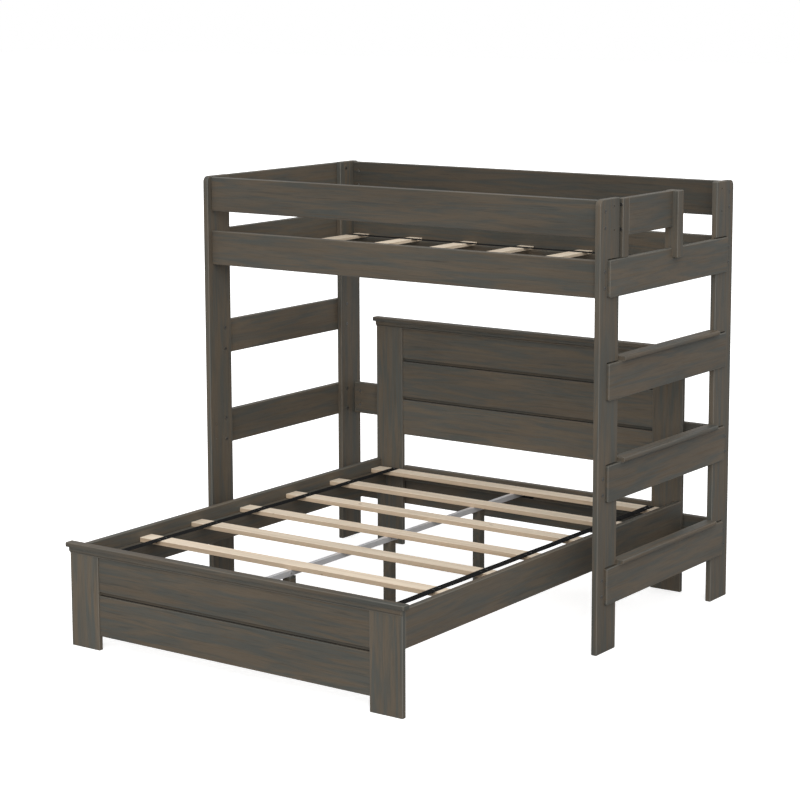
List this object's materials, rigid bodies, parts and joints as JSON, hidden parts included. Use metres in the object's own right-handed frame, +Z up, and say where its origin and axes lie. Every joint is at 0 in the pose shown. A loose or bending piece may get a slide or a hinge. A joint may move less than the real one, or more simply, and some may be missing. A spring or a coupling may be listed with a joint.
{
  "type": "bunk bed with ladder",
  "caption": "Loft bed frame with a built-in ladder end and guard rails, over a crosswise freestanding slatted platform bed with headboard.",
  "frame": {"origin": "on the floor under the middle of the whole object's box", "axes": "+Z up; +X towards the ladder end of the loft; -Y towards the foot of the queen bed, which faces the viewer"},
  "size_m": [2.026, 2.158, 1.782],
  "materials": {
    "stained_wood": "dark grey-brown stain over pine, grain showing",
    "groove_wood": "dark stain in the shadow grooves",
    "bare_pine": "sawn, unfinished",
    "webbing": "black woven webbing",
    "bolt_steel": "dark nickel",
    "black_steel": "blackened",
    "zinc_steel": "zinc plated",
    "beam_steel": "mill finish"
  },
  "bodies": {
    "loft": {"barrel_nuts": "zinc_steel", "dowels": "bare_pine", "end_board_bolts": "bolt_steel", "end_board_left_low": "stained_wood", "end_board_left_middle": "stained_wood", "end_guard_left": "stained_wood", "end_guard_right": "stained_wood", "end_rail_left": "stained_wood", "end_rail_right": "stained_wood", "guard_back": "stained_wood", "guard_bolts": "bolt_steel", "guard_front": "stained_wood", "guard_upright_entry_side": "stained_wood", "guard_upright_post_side": "stained_wood", "post_back_left": "stained_wood", "post_back_right": "stained_wood", "post_front_left": "stained_wood", "post_front_right": "stained_wood", "rail_bolts": "bolt_steel", "rung_board_1": "stained_wood", "rung_board_2": "stained_wood", "rung_board_3": "stained_wood", "side_rail_back": "stained_wood", "side_rail_front": "stained_wood", "stretcher_back_low": "stained_wood", "stretcher_back_middle": "stained_wood", "tread_1": "stained_wood", "tread_2": "stained_wood", "tread_3": "stained_wood", "upper_ledgers": "stained_wood", "upper_slats": "bare_pine", "upper_straps": "webbing", "upright_screws": "zinc_steel"},
    "queen_bed": {"beam_legs": "stained_wood", "beam_seats": "black_steel", "bed_ledgers": "stained_wood", "bed_rail_dowels": "bare_pine", "bed_rail_left": "stained_wood", "bed_rail_right": "stained_wood", "bed_screws": "zinc_steel", "bed_slats": "bare_pine", "bed_straps": "webbing", "centre_beam": "beam_steel", "foot_backing": "groove_wood", "foot_cap": "stained_wood", "foot_cross_rail": "stained_wood", "foot_leg_left": "stained_wood", "foot_leg_right": "stained_wood", "foot_moulding": "stained_wood", "foot_plank_1": "stained_wood", "foot_plank_2": "stained_wood", "head_backing": "groove_wood", "head_cap": "stained_wood", "head_cross_rail": "stained_wood", "head_leg_left": "stained_wood", "head_leg_right": "stained_wood", "head_moulding": "stained_wood", "head_plank_1": "stained_wood", "head_plank_2": "stained_wood", "head_plank_3": "stained_wood"}
  },
  "joints": [
    {"name": "bed_pull_out", "type": "slide", "parent": "loft", "child": "queen_bed", "axis": [0, -1, 0], "range_m": [0, 1.05]}
  ]
}
